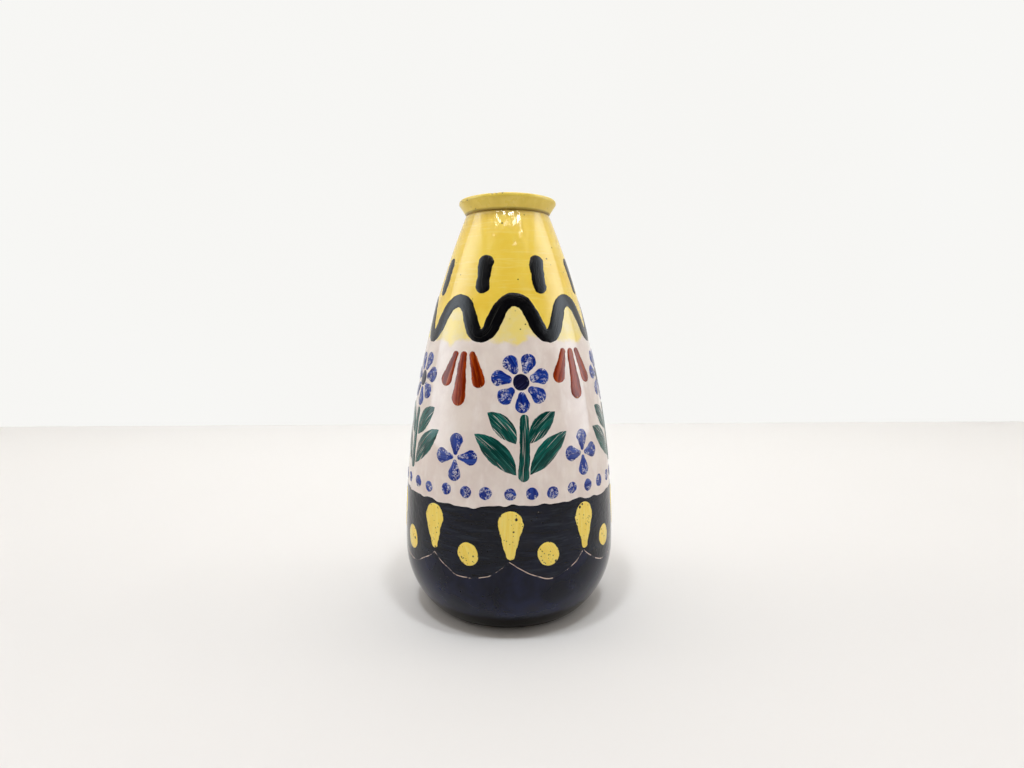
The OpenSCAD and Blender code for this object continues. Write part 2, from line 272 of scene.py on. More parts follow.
class Nodes:
    """Short ways to add nodes to a tree."""

    def __init__(self, tree):
        self.tree = tree

    def plug(self, socket, value):
        if isinstance(value, bpy.types.NodeSocket):
            self.tree.links.new(value, socket)
        else:
            socket.default_value = value

    def add(self, kind, inputs=(), **settings):
        node = self.tree.nodes.new(kind)
        for key, value in settings.items():
            setattr(node, key, value)
        for key, value in dict(inputs).items():
            self.plug(node.inputs[key], value)
        return node

    def split(self, vector):
        return self.add("ShaderNodeSeparateXYZ", {0: vector}).outputs

    def math(self, how, a, b=0.0):
        return self.add("ShaderNodeMath", {0: a, 1: b}, operation=how).outputs[0]

    def times(self, a, b):
        return self.math("MULTIPLY", a, b)

    def fit(self, value, low, high, to_low=0.0, to_high=1.0):
        """Smooth step from one range to another."""
        node = self.add("ShaderNodeMapRange", {"Value": value, "From Min": low, "From Max": high,
                                               "To Min": to_low, "To Max": to_high},
                        interpolation_type="SMOOTHSTEP")
        return node.outputs[0]

    def blend(self, share, a, b):
        """A number between two others."""
        return self.add("ShaderNodeMix", {0: share, 2: a, 3: b}, data_type="FLOAT").outputs[0]

    def mix(self, share, a, b):
        """A colour between two others."""
        return self.add("ShaderNodeMix", {0: share, 6: a, 7: b}, data_type="RGBA").outputs[2]


class Look(Nodes):
    """The nodes of a material."""

    def __init__(self, name):
        self.material = bpy.data.materials.new(name)
        self.material.use_nodes = True
        super().__init__(self.material.node_tree)
        self.tree.nodes.clear()
        self.out = self.add("ShaderNodeOutputMaterial")
        self.surface = self.add("ShaderNodeBsdfPrincipled")
        self.plug(self.out.inputs[0], self.surface.outputs[0])

    def place(self):
        """Place on the vase in metres."""
        return self.add("ShaderNodeTexCoord").outputs["Object"]

    def uv(self, name):
        return self.add("ShaderNodeUVMap", uv_map=name).outputs[0]

    def value(self, name):
        return self.add("ShaderNodeAttribute", attribute_name=name).outputs["Fac"]

    def stretch(self, vector, scale):
        return self.add("ShaderNodeMapping", {"Vector": vector, "Scale": scale}).outputs[0]

    def noise(self, vector, scale, detail=3.0, rough=0.55, distort=0.0):
        node = self.add("ShaderNodeTexNoise", {"Vector": vector, "Scale": scale, "Detail": detail,
                                               "Roughness": rough, "Distortion": distort})
        return node.outputs["Fac"]

    def streaks(self, along, across, detail=3.0, rough=0.55, distort=0.0):
        """Noise that follows the brush strokes."""
        brush = self.stretch(self.uv("Brush"), (along, across, 1))
        return self.noise(brush, 1.0, detail, rough, distort)

    def cells(self, vector, scale):
        return self.add("ShaderNodeTexVoronoi", {"Vector": vector, "Scale": scale}).outputs["Distance"]

    def bump(self, height, distance, strength=1.0, under=None):
        node = self.add("ShaderNodeBump", {"Height": height, "Distance": distance, "Strength": strength})
        if under is not None:
            self.plug(node.inputs["Normal"], under)
        return node.outputs[0]

    def finish(self, colour, rough, normal=None, ior=1.5):
        self.plug(self.surface.inputs["Base Color"], colour)
        self.plug(self.surface.inputs["Roughness"], rough)
        self.surface.inputs["IOR"].default_value = ior
        if normal is not None:
            self.plug(self.surface.inputs["Normal"], normal)
        return self.material


WHITE_A, WHITE_B, WHITE_C = srgb(236, 224, 216), srgb(226, 211, 204), srgb(242, 232, 227)
YELLOW_A, YELLOW_B = srgb(247, 216, 92), srgb(242, 205, 73)
WASH_A, WASH_B = srgb(244, 222, 128), srgb(239, 222, 158)
INK = srgb(10, 10, 13)
SCRATCH = srgb(214, 190, 176)
# Dark olive of painted shade where the collar meets the neck
SEAM_SHADE_COLOUR = srgb(146, 120, 40)


def pinholes(look, place, scale, size):
    """Small dark specks: 1 inside a speck."""
    chosen = look.fit(look.noise(place, scale * 0.22, 2.0), 0.54, 0.61)
    return look.times(look.fit(look.cells(place, scale), size, size * 0.55), chosen)


def glaze_skin(look, place):
    """Slow unevenness of a fired glaze, with a finer orange peel."""
    slow = look.times(look.noise(place, 60.0, 2.0), 0.14)
    rings = look.times(look.noise(look.stretch(place, (70, 70, 560)), 1.0, 2.0), 0.022)
    fine = look.times(look.noise(place, 420.0, 2.0), 0.05)
    return look.bump(look.math("ADD", look.math("ADD", slow, rings), fine), 0.001, 0.2)


def ground_glaze():
    """Yellow glaze above a ragged watery border, white below it, with painted shade in the crease under
    the collar.
    """
    look = Look("yellow_and_white_glaze")
    place = look.place()
    patch = look.noise(place, 60.0, 4.0, 0.6)
    brush = look.noise(look.stretch(place, (150, 150, 60)), 1.0, 3.0)
    white = look.mix(look.fit(patch, 0.35, 0.65), WHITE_A, WHITE_B)
    white = look.mix(look.fit(brush, 0.48, 0.72, 0.0, 0.7), white, WHITE_C)
    yellow = look.mix(look.fit(patch, 0.32, 0.68), YELLOW_A, YELLOW_B)
    yellow = look.mix(look.fit(brush, 0.5, 0.75, 0.0, 0.35), yellow, srgb(242, 214, 108))
    level = look.noise(look.stretch(place, (45, 45, 620)), 1.0, 3.0, 0.6)
    yellow = look.mix(look.fit(level, 0.52, 0.68, 0.0, 0.4), yellow, srgb(250, 226, 128))
    wash = look.mix(look.fit(look.noise(place, 110.0, 4.0), 0.38, 0.66), WASH_A, WASH_B)
    upper = look.mix(look.value("wash"), yellow, wash)
    rag = look.fit(look.noise(place, 120.0, 5.0, 0.6, 0.4), 0.0, 1.0, -3.0, 3.0)
    colour = look.mix(look.fit(look.math("ADD", rag, look.value("edge_mm")), -1.2, 1.6), white, upper)
    above = look.fit(look.value("edge_mm"), -1.0, 2.0)
    colour = look.mix(look.times(pinholes(look, place, 260.0, 0.16), above), colour, srgb(50, 40, 18))
    # Painted shade: the yellow darkens to olive in the crease just under the collar
    seam_shade = look.fit(look.split(place)[2], (SEAM_Z - 1.3) * MM, (SEAM_Z - 0.3) * MM, 0.0, 0.8)
    colour = look.mix(seam_shade, colour, SEAM_SHADE_COLOUR)
    rough = look.fit(look.noise(place, 90.0, 3.0), 0.3, 0.7, 0.03, 0.07)
    return look.finish(colour, rough, glaze_skin(look, place))


def collar_glaze():
    """Thinner, duller yellow on the collar, rubbed off in small chips at the lip, with painted shade
    darkening its foot at the seam.
    """
    look = Look("collar_yellow")
    place = look.place()
    patch = look.noise(place, 70.0, 4.0, 0.6)
    colour = look.mix(look.fit(patch, 0.3, 0.7), srgb(240, 213, 95), srgb(228, 199, 73))
    worn = look.fit(look.noise(place, 300.0, 3.0), 0.55, 0.75, 0.0, 0.5)
    colour = look.mix(worn, colour, srgb(238, 216, 118))
    colour = look.mix(pinholes(look, place, 330.0, 0.2), colour, srgb(92, 72, 26))
    # Painted shade: the collar's foot darkens to olive at the seam
    seam_shade = look.fit(look.split(place)[2], (SEAM_Z + 1.5) * MM, (SEAM_Z + 0.5) * MM, 0.0, 0.8)
    colour = look.mix(seam_shade, colour, SEAM_SHADE_COLOUR)
    colour = look.mix(look.value("chip"), colour, srgb(62, 44, 28))
    return look.finish(colour, look.fit(patch, 0.3, 0.7, 0.26, 0.42), glaze_skin(look, place))


def festoon(look, place):
    """Height in mm above a scratched garland line that hangs between the tongues."""
    x, y, z = look.split(place)
    turn = look.times(look.math("ARCTAN2", x, look.times(y, -1.0)), TONGUE_COUNT / TURN)
    share = look.math("FRACT", turn)
    sag = look.times(look.times(share, look.math("SUBTRACT", 1.0, share)), 4 * GARLAND_SAG)
    hand = look.fit(look.noise(place, 40.0, 2.0), 0.2, 0.8, -1.2, 1.2)
    line = look.math("SUBTRACT", look.math("ADD", hand, GARLAND_Z), sag)
    return look.math("SUBTRACT", look.times(z, 1 / MM), line)


def black_tones(look, place, cloud, over):
    """Tones of the black glaze: bluer below the garland, brushed above it, brown or rubbed in places."""
    colour = look.mix(look.fit(cloud, 0.35, 0.7), srgb(7, 10, 27), srgb(23, 28, 57))
    colour = look.mix(look.fit(over, 0.0, 0.8, 0.0, 0.6), colour, srgb(14, 18, 27))
    sweep = look.noise(look.stretch(place, (55, 55, 420)), 1.0, 4.0, 0.65)
    above = look.fit(over, 0.0, 1.5)
    pale, dark = look.fit(sweep, 0.50, 0.68, 0.0, 0.6), look.fit(sweep, 0.47, 0.36, 0.0, 0.8)
    colour = look.mix(look.times(pale, above), colour, srgb(40, 47, 58))
    colour = look.mix(look.times(dark, above), colour, srgb(7, 8, 12))
    brown = look.fit(look.noise(place, 24.0, 3.0), 0.60, 0.72, 0.0, 0.7)
    colour = look.mix(brown, colour, srgb(34, 30, 28))
    rub = look.noise(look.stretch(place, (160, 160, 600)), 1.0, 4.0, 0.7)
    return look.mix(look.fit(rub, 0.68, 0.80, 0.0, 0.4), colour, srgb(74, 74, 78))


def black_glaze():
    """Blue-black glaze with a scratched garland, pits and pale specks, and painted shade that darkens it
    towards the heel.
    """
    look = Look("black_glaze")
    place = look.place()
    cloud = look.noise(place, 45.0, 3.0, 0.55, 0.5)
    over = festoon(look, place)
    groove = look.fit(look.math("ABSOLUTE", over), 0.36, 0.18)
    broken = look.fit(look.noise(place, 150.0, 4.0, 0.65), 0.44, 0.56)
    colour = look.mix(look.times(groove, broken), black_tones(look, place, cloud, over), SCRATCH)
    pits = pinholes(look, place, 300.0, 0.17)
    colour = look.mix(pits, colour, srgb(4, 4, 6))
    dust = pinholes(look, look.stretch(place, (1, 1, 1.7)), 210.0, 0.10)
    colour = look.mix(look.times(dust, 0.8), colour, srgb(150, 140, 128))
    # Painted shade: the black is darkened towards the heel, where the glaze mirrors the shadow under the
    # vase
    heel = look.fit(look.split(place)[2], HEEL_SHADE_TOP * MM, HEEL_SHADE_FULL * MM)
    colour = look.mix(heel, colour, srgb(3, 3, 5))
    lumps = look.times(look.noise(place, 240.0, 3.0, 0.6), look.fit(over, -2.0, 3.0, 0.25, 1.6))
    raised = look.math("ADD", look.times(cloud, 0.4), lumps)
    height = look.math("SUBTRACT", raised, look.math("ADD", groove, pits))
    normal = look.bump(height, 0.0002, 0.8, glaze_skin(look, place))
    return look.finish(colour, look.fit(cloud, 0.3, 0.7, 0.05, 0.14), normal, ior=1.3)


def bare_clay():
    """Unglazed earthenware of the foot, its bevel stained by thin black glaze."""
    look = Look("bare_clay")
    place = look.place()
    grain = look.noise(place, 900.0, 4.0, 0.7)
    patch = look.fit(look.noise(place, 60.0, 4.0), 0.3, 0.7)
    colour = look.mix(patch, srgb(186, 142, 108), srgb(164, 118, 86))
    colour = look.mix(look.fit(grain, 0.55, 0.75, 0.0, 0.6), colour, srgb(120, 84, 62))
    x, y, z = look.split(place)
    radius = look.math("SQRT", look.math("ADD", look.times(x, x), look.times(y, y)))
    uneven = look.fit(look.noise(place, 70.0, 3.0), 0.2, 0.8, -1.2 * MM, 1.2 * MM)
    stain = look.fit(look.math("ADD", radius, uneven), 42.5 * MM, 44.0 * MM)
    low = look.fit(z, 10.0 * MM, 6.0 * MM)
    colour = look.mix(look.times(stain, low), colour, srgb(24, 22, 23))
    turned = look.noise(look.stretch(place, (40, 40, 900)), 1.0, 2.0)
    height = look.math("ADD", grain, look.times(turned, 0.5))
    return look.finish(colour, look.fit(grain, 0.3, 0.7, 0.7, 0.9), look.bump(height, 0.0004, 0.6))


def liner():
    """Cream glaze inside the vase."""
    look = Look("liner")
    place = look.place()
    patch = look.noise(place, 50.0, 4.0)
    colour = look.mix(look.fit(patch, 0.3, 0.7), srgb(226, 205, 150), srgb(205, 180, 118))
    return look.finish(colour, look.fit(patch, 0.3, 0.7, 0.1, 0.2), glaze_skin(look, place))


def bare_lines(look, bristle, share):
    """Lines between the bristles where the paint is thin."""
    reach = look.fit(look.streaks(0.06, 0.3, 1.0), 0.50, 0.60)
    return look.times(look.times(look.fit(bristle, 0.58, 0.64), reach), share)


def foam_flecks(look, amount):
    """Flecks left by burst bubbles where the paint is thin."""
    bubble = look.fit(look.streaks(0.75, 0.9, 4.0, 0.62, 1.1), 0.46, 0.62)
    thin = look.streaks(0.16, 0.24, 2.0)
    return look.times(bubble, look.fit(thin, 0.62 - 0.16 * amount, 0.74 - 0.16 * amount))


def thin_edge(look, across, hair, share):
    """The ragged rim of a stroke, given the place across it from 0 to 1."""
    off_middle = look.math("SUBTRACT", across, 0.5)
    far = look.times(look.times(off_middle, off_middle), 4.0)
    ragged = look.math("ADD", far, look.fit(hair, 0.0, 1.0, -0.25, 0.25))
    return look.fit(ragged, 0.88, 1.12, 0.0, share)


def paint_holes(look, scale, rarity):
    """Round holes in the paint, gathered in places."""
    dots = look.cells(look.stretch(look.uv("Brush"), (scale, scale, 1)), 1.0)
    chosen = look.fit(look.streaks(scale * 0.7, scale * 0.6, 1.0), rarity, rarity + 0.06)
    return look.times(look.fit(dots, 0.22, 0.15), chosen)


def enamel(name, deep, middle, pale, under, lines=0.0, foam=0.0, dry_end=0.0, holes=(), edge=0.3,
           grain=0.0, rough=(0.08, 0.2)):
    """Brushed enamel with streaks along the stroke, through which the glaze under it shows in places."""
    look = Look(name)
    along, across = look.split(look.uv("Span"))[:2]
    soft, hair = look.streaks(0.03, 0.5, 3.0, 0.6), look.streaks(0.05, 2.4, 3.0, 0.6)
    pool, bristle = look.streaks(0.10, 0.22), look.streaks(0.035, 2.0, 2.0, 0.5)
    colour = look.mix(look.fit(soft, 0.36, 0.62), deep, middle)
    colour = look.mix(look.fit(hair, 0.52, 0.72, 0.0, 0.7), colour, pale)
    colour = look.mix(look.fit(pool, 0.46, 0.66, 0.0, 0.75), colour, deep)
    if lines:
        colour = look.mix(bare_lines(look, bristle, lines), colour, under)
    if foam:
        colour = look.mix(foam_flecks(look, foam), colour, under)
    if dry_end:
        end = look.math("ADD", look.fit(along, 0.72, 1.0, 0.0, 0.5), bristle)
        colour = look.mix(look.fit(end, 0.86, 0.94, 0.0, dry_end), colour, under)
    colour = look.mix(thin_edge(look, across, hair, edge), colour, under)
    for scale, rarity in holes:
        colour = look.mix(paint_holes(look, scale, rarity), colour, INK)
    height = look.times(look.math("ADD", soft, hair), 0.5)
    if grain:
        height = look.math("ADD", height, look.times(look.streaks(0.9, 0.9, 3.0, 0.6), grain))
    normal = look.bump(height, 0.00022, 0.5)
    return look.finish(colour, look.fit(pool, 0.3, 0.7, *rough), normal, ior=1.38)


# Each enamel: its deep, middle and pale tones, and the tone that shows through it
black_ink = enamel("black_enamel", srgb(4, 4, 6), srgb(8, 8, 11), srgb(26, 26, 29), srgb(120, 118, 110),
                   lines=0.12, edge=0.08, grain=1.2, rough=(0.10, 0.26))
green_ink = enamel("green_enamel", srgb(2, 54, 50), srgb(16, 92, 84), srgb(84, 150, 138), WHITE_A,
                   lines=0.7, edge=0.35)
blue_ink = enamel("blue_enamel", srgb(2, 27, 116), srgb(26, 61, 154), srgb(80, 106, 182),
                  srgb(206, 204, 212), foam=1.0, edge=0.45)
night_ink = enamel("dark_blue_enamel", srgb(14, 13, 40), srgb(24, 24, 58), srgb(60, 62, 104),
                   srgb(120, 120, 150), foam=0.5)
rust_ink = enamel("rust_enamel", srgb(104, 22, 0), srgb(158, 54, 0), srgb(196, 92, 14),
                  srgb(218, 142, 80), lines=0.35, dry_end=0.6, edge=0.3)
gold_ink = enamel("yellow_enamel", srgb(247, 215, 92), srgb(251, 225, 112), srgb(253, 235, 152), INK,
                  holes=((0.24, 0.48), (0.62, 0.44)), edge=0.4)


# The wave line

def wave_terms():
    """Half width of a wave, and the sizes of its cosine and two overtones for the set bends."""
    x = float(skin_radius(WAVE_Z + WAVE_W / 2)) * math.sin(math.pi / WAVE_COUNT)
    line_h = WAVE_H - WAVE_W
    crest = (x / math.pi + SWELL) ** 2 / CREST_BEND
    trough = (x / math.pi - SWELL) ** 2 / TROUGH_BEND
    third = (line_h - crest - trough) / 16
    return x, line_h / 2 + third, (crest - trough) / 8, third


def wave_arch(i, reach, count=96):
    """Middle line of one arch as (azimuth, height), out to a phase of reach both sides of its crest."""
    x, first, second, third = wave_terms()
    t = np.linspace(-reach, reach, count)
    y = first * np.cos(t) + second * np.cos(2 * t) - third * np.cos(3 * t)
    low = -first + second + third
    crest = 0.5 + 0.5 * np.cos(t)
    hand = np.random.RandomState(40 + i)
    z = WAVE_Z + WAVE_W / 2 + y - low + crest * hand.uniform(-0.6, 0.3)
    right = x * t / math.pi + SWELL * np.sin(t) + crest * hand.uniform(-0.2, 1.0)
    return np.stack([NECK_TURN + i * TURN / WAVE_COUNT + np.arcsin(right / skin_radius(z)), z], 1)


def wave_height(phi):
    """Height of the wave's line at an azimuth, for telling wash from full yellow."""
    line = np.concatenate([wave_arch(i, math.pi) for i in range(WAVE_COUNT)])
    at = line[:, 0] % TURN
    order = np.argsort(at)
    return np.interp(np.asarray(phi) % TURN, at[order], line[order, 1], period=TURN)


# The coats

def angles():
    """Azimuths of the points of a ring."""
    return np.arange(ROUND) * TURN / ROUND


def coat(name, heights, lift, node, material, values=None):
    """A glaze ring over rows of heights, lift giving the outer face's rise there."""
    phi = angles()[None, :]
    outer = on_skin(phi, heights, lift)
    inner = on_skin(phi, heights, -COAT_DEPTH)
    rows = np.concatenate([outer, inner[::-1]])
    shades = {}
    for key, v in (values or {}).items():
        v = np.broadcast_to(v, outer.shape[:2])
        shades[key] = np.concatenate([v, v[::-1]])
    faces = tube_faces(len(rows), ROUND)
    make_piece(name, rows.reshape(-1, 3), faces, node, material, values=shades)


def ground_values(z):
    """Where the wash lies and how far above the ragged lower border of the yellow a place is."""
    phi = angles()[None, :]
    lobe = np.cos(WAVE_COUNT * (phi - NECK_TURN) + 0.5)
    border = YELLOW_Z - 0.6 - 1.6 * lobe + 0.5 * np.sin(5 * phi + 1) + 0.5 * np.sin(23 * phi + 2)
    return {"wash": (z < wave_height(phi)).astype(float), "edge_mm": z - border}


def black_border(phi):
    """Height of the lumpy upper edge of the black coat."""
    slow = 0.8 * np.sin(4 * phi + 0.5) + 0.5 * np.sin(9 * phi + 2)
    lumps = 0.35 * np.sin(23 * phi + np.sin(7 * phi)) + 0.25 * np.sin(41 * phi + 2 * np.sin(5 * phi))
    return BLACK_Z + slow + lumps + 0.12 * np.sin(67 * phi)


def build_coats():
    """The yellow, white and black glaze of the wall."""
    ground = ground_glaze()
    fine = SEAM_Z - 2.5
    z = np.concatenate([np.arange(YELLOW_Z, fine, 0.8), np.linspace(fine, SEAM_Z, 12)])[:, None]
    tuck = -0.1 * np.clip(z - (SEAM_Z - 1.1), 0, 1) ** 2
    coat("yellow_coat", z, tuck, "neck_glaze", ground, ground_values(z))
    z = np.linspace(BLACK_Z - 3, YELLOW_Z, 114)[:, None]
    coat("white_coat", z, 0.0, "belly_glaze", ground, ground_values(z))
    top = black_border(angles()[None, :])
    share = np.concatenate([np.linspace(0, 0.96, 96, endpoint=False), np.linspace(0.96, 1, 10)])
    z = BARE_H + share[:, None] * (top - BARE_H)
    bead = 0.12 * (1 - np.clip(1 - (top - z) / 1.2, 0, 1) ** 3) - 0.03
    lift = bead * np.clip((z - BARE_H) / 2, 0, 1)
    coat("black_coat", z, lift, "base_glaze", black_glaze())


def lip_profile():
    """Outline of the glazed collar from the seam outside, over the lip, to the seam inside."""
    neck = float(skin_radius(SEAM_Z))
    throat = neck - GLAZE_T - WALL - GLAZE_T
    flare_top = VASE_H - LIP_BAND
    inner = LIP_R - LIP_T
    points = [(neck - 0.55, SEAM_Z + 0.02), (neck - 0.12, SEAM_Z + 0.12), (neck + 0.2, SEAM_Z + 0.45)]
    for t in np.linspace(0.12, 1, 9):
        bow = 0.12 * math.sin(math.pi * t)
        points.append((neck + (LIP_R - neck) * t - bow, SEAM_Z + (flare_top - SEAM_Z) * t))
    points.append((LIP_R, VASE_H - LIP_ROUND - 0.5))
    for a in np.radians(np.linspace(0, 90, 7)):
        points.append((LIP_R - LIP_ROUND * (1 - math.cos(a)), VASE_H - LIP_ROUND * (1 - math.sin(a))))
    for a in np.radians(np.linspace(90, 180, 7)):
        points.append((inner + LIP_ROUND * (1 + math.cos(a)), VASE_H - LIP_ROUND * (1 - math.sin(a))))
    for t in np.linspace(0.1, 1, 8):
        points.append((inner + (throat - inner) * t, flare_top + (SEAM_Z - flare_top) * t))
    return points


# Chips on the lip: azimuth, half width and depth
CHIPS = ((-0.30, 0.035, 1.0), (-0.21, 0.03, 0.9), (1.3, 0.03, 0.6), (2.4, 0.04, 0.8), (4.0, 0.03, 0.7))


def build_collar():
    """The glazed collar with its chipped, slightly uneven lip."""
    phi = angles()
    bite = np.zeros(ROUND)
    for at, wide, deep in CHIPS:
        gap = (phi - at + math.pi) % TURN - math.pi
        bite = np.maximum(bite, deep * np.exp(-(gap / wide) ** 2))
    sway = 0.08 * np.cos(2 * phi + 1) + 0.05 * np.cos(3 * phi) - 0.13
    dip = 0.12 * np.cos(2 * phi - 0.4) + 0.06 * np.cos(5 * phi) - 0.18
    rings, chipped = [], []
    for r, z in lip_profile():
        near_top = max(0.0, 1 - (VASE_H - z) / 2.0)
        chip = bite * near_top * max(0.0, 1 - abs(r - LIP_R) / 2.2)
        radius = r + sway - 0.35 * chip
        height = z + near_top * dip - 0.4 * chip
        rings.append(np.stack([radius * np.sin(phi), -radius * np.cos(phi), height], -1) * MM)
        chipped.append(np.clip(chip * 1.6 - 0.35, 0, 1))
    faces = tube_faces(len(rings), ROUND)
    make_piece("collar_coat", np.array(rings).reshape(-1, 3), faces, "collar_glaze",
               collar_glaze(), values={"chip": np.array(chipped)})


# The brush strokes, each with a seed of its own

def spot(azimuth, z, r, seed, wander=0.3):
    """A round touch of the brush."""
    return dab(azimuth, z, jitter(1.5), -r, 2 * r, 2 * r, 2 * r, seed, wander=wander)


def wave_stroke(i):
    """One arch of the wave line, broader on its slopes, which reaches into the next arches."""
    reach = math.pi * WAVE_REACH
    path = wave_arch(i, reach)
    at = np.arange(len(path))
    slope = np.sin(np.linspace(-reach, reach, len(path))) ** 2
    half = (WAVE_W + (SLOPE_W - WAVE_W) * slope) / 2
    ends = np.clip(0.78 + np.minimum(at, at[::-1]) / 12, 0, 1)
    half = half * (1 + 0.03 * np.sin(at / 13.0 + i)) * ends
    return stroke(path, half, 20 + i, across=17, lift=PAINT_T * (0.92 + 0.08 * (i % 2)))


def build_neck_paint():
    """The black wave line and the dabs above it."""
    dabs = []
    for i in range(WAVE_COUNT):
        at = NECK_TURN + (i + 0.5) * TURN / WAVE_COUNT + jitter(0.03)
        length = DAB_LEN + jitter(1.0)
        dabs.append(dab(at, DAB_Z + jitter(1.0), jitter(0.05), -length / 2, length,
                        DAB_W * rng.uniform(0.6, 0.95), DAB_W * rng.uniform(0.95, 1.06), 100 + i,
                        bend=jitter(0.5), pinch=rng.uniform(0, 0.08), wander=0.45))
    arches = [wave_stroke(i) for i in range(WAVE_COUNT)]
    paint("wave_strokes", arches, "neck_wave", black_ink)
    paint("neck_dab_strokes", dabs, "neck_dabs", black_ink)


def build_sprigs():
    """Flower sprigs on the white: stem, four leaves and a blossom."""
    stems, leaves, petals, hearts = [], [], [], []
    for i in range(SPRIG_COUNT):
        at = FRIEZE_TURN + i * TURN / SPRIG_COUNT + jitter(0.02)
        up = jitter(0.8)
        stems.append(dab(at, STEM_Z + up, jitter(0.03), 0, STEM_LEN, STEM_W, STEM_W * 0.8, 200 + i,
                         bend=jitter(0.6)))
        for side in (-1, 1):
            root = side * (STEM_W / 2 + STROKE_GAP) / float(skin_radius(LEAF_ROOT_Z))
            for k, (z, length, width) in enumerate(LEAVES):
                lean = side * math.radians(LEAF_LEAN + jitter(2.5))
                leaves.append(leaf(at + root, z + up, lean, length + jitter(0.8), width + jitter(0.5),
                                   300 + 8 * i + 3 * k + side, bend=-side * LEAF_BEND))
        start, spin = CENTRE_R + STROKE_GAP, jitter(0.08)
        for k in range(PETAL_COUNT):
            turn = (k + 0.5) * TURN / PETAL_COUNT + spin + jitter(0.04)
            petals.append(dab(at, BLOSSOM_Z + up, turn, start, BLOSSOM_R - start + jitter(0.4),
                              PETAL_W * 0.5, PETAL_W + jitter(0.4), 500 + 10 * i + k))
        hearts.append(spot(at, BLOSSOM_Z + up, CENTRE_R, 600 + i, wander=0.24))
    paint("stem_strokes", stems, "sprig_stems", green_ink)
    paint("leaf_strokes", leaves, "sprig_leaves", green_ink)
    paint("petal_strokes", petals, "blossom_petals", blue_ink)
    paint("blossom_hearts", hearts, "blossom_centres", night_ink)


def build_gaps():
    """Hanging buds and crosses between the sprigs."""
    buds, crosses = [], []
    for i in range(SPRIG_COUNT):
        at = FRIEZE_TURN + (i + 0.5) * TURN / SPRIG_COUNT + jitter(0.02)
        top = BUD_Z + jitter(0.7)
        buds.append(dab(at, top, math.pi + jitter(0.04), 0, BUD_LEN + jitter(0.8), BUD_W * 0.5, BUD_W,
                        700 + i))
        for side in (-1, 1):
            root = side * BUD_W * 0.55 / float(skin_radius(BUD_Z))
            lean = math.pi - side * math.radians(BUD_LEAN + jitter(2))
            buds.append(dab(at + root, top, lean, 0, SIDE_BUD_LEN + jitter(0.8), BUD_W * 0.45,
                            BUD_W * 0.9, 720 + 3 * i + side))
        start, up = 2 * STROKE_GAP, jitter(0.8)
        for k in range(CROSS_ARMS):
            crosses.append(dab(at, CROSS_Z + up, k * TURN / CROSS_ARMS + jitter(0.06), start,
                               CROSS_R - start + jitter(0.4), CROSS_W * 0.3, CROSS_W + jitter(0.4),
                               800 + CROSS_ARMS * i + k))
    paint("bud_strokes", buds, "rust_buds", rust_ink)
    paint("cross_strokes", crosses, "blue_crosses", blue_ink)


def build_base_paint():
    """The bead row, and tongues and dots on the black."""
    beads, tongues, dots = [], [], []
    for i in range(BEAD_COUNT):
        at = (i + jitter(0.06)) * TURN / BEAD_COUNT
        beads.append(spot(at, BEAD_Z + jitter(0.5), BEAD_R + jitter(0.25), 900 + i))
    for i in range(TONGUE_COUNT):
        at = i * TURN / TONGUE_COUNT + jitter(0.02)
        tongues.append(dab(at, TONGUE_Z + jitter(0.4), math.pi + jitter(0.04), 0,
                           TONGUE_LEN + jitter(0.7), TONGUE_W, TONGUE_W * 0.35, 950 + i, wander=0.4))
        at = (i + 0.5) * TURN / TONGUE_COUNT + jitter(0.02)
        dots.append(spot(at, BASE_DOT_Z + jitter(0.6), BASE_DOT_R + jitter(0.3), 970 + i))
    paint("bead_strokes", beads, "bead_row", blue_ink)
    paint("tongue_strokes", tongues, "base_tongues", gold_ink)
    paint("base_dot_strokes", dots, "base_dots", gold_ink)


# Camera, light and stage, in metres and degrees

STAGE_HALF, TABLE_FRONT, TABLE_BACK = 3.0, -3.0, 0.627
WALL_Y, WALL_LOW, WALL_HIGH = 0.66, -1.0, 3.0
SIDES = ((-1, "left"), (1, "right"))
WARM, COOL, SKY = (1.0, 0.92, 0.82), (0.92, 0.97, 1.0), (0.75, 0.88, 1.0)

# The camera, its focal length given as a share of the picture's width
CAMERA_PLACE = (0, -0.3596, 0.1693)
CAMERA_DOWN, CAMERA_YAW, CAMERA_ROLL = 5.877, -0.35, -0.24
FOCAL_SHARE, SENSOR_MM, CLIP_NEAR = 594.8 / 1024, 36.0, 0.01

# A bright window at each side, mirrored in the glaze and fading towards the viewer
WINDOW_AT, WINDOW_FAR, WINDOW_Z, WINDOW_AIM = 82.0, 0.95, 0.50, (0, 0, 0.16)
WINDOW_SIZE, WINDOW_GLOW, WINDOW_FADE = (0.927, 0.9), 2.35, 0.57

# Panels and lamps: place, aim, size and brightness, those at the side given for the right
TOP_PANEL = ((0, 0.05, 1.50), (0, 0.05, 0), (2.2, 2.2), 0.98)
SIDE_LAMP = ((0.26, -0.40, 1.50), (0, 0, 0), (0.14, 0.14), 88.0)
SIDE_FILL = ((1.9, 0.35, 1.0), (0, 0, 0.1), (1.2, 1.2), 2.0)
FRONT_FILL = ((0, -1.4, 1.0), (0, 0, 0.12), (1.6, 0.9), 0.9)

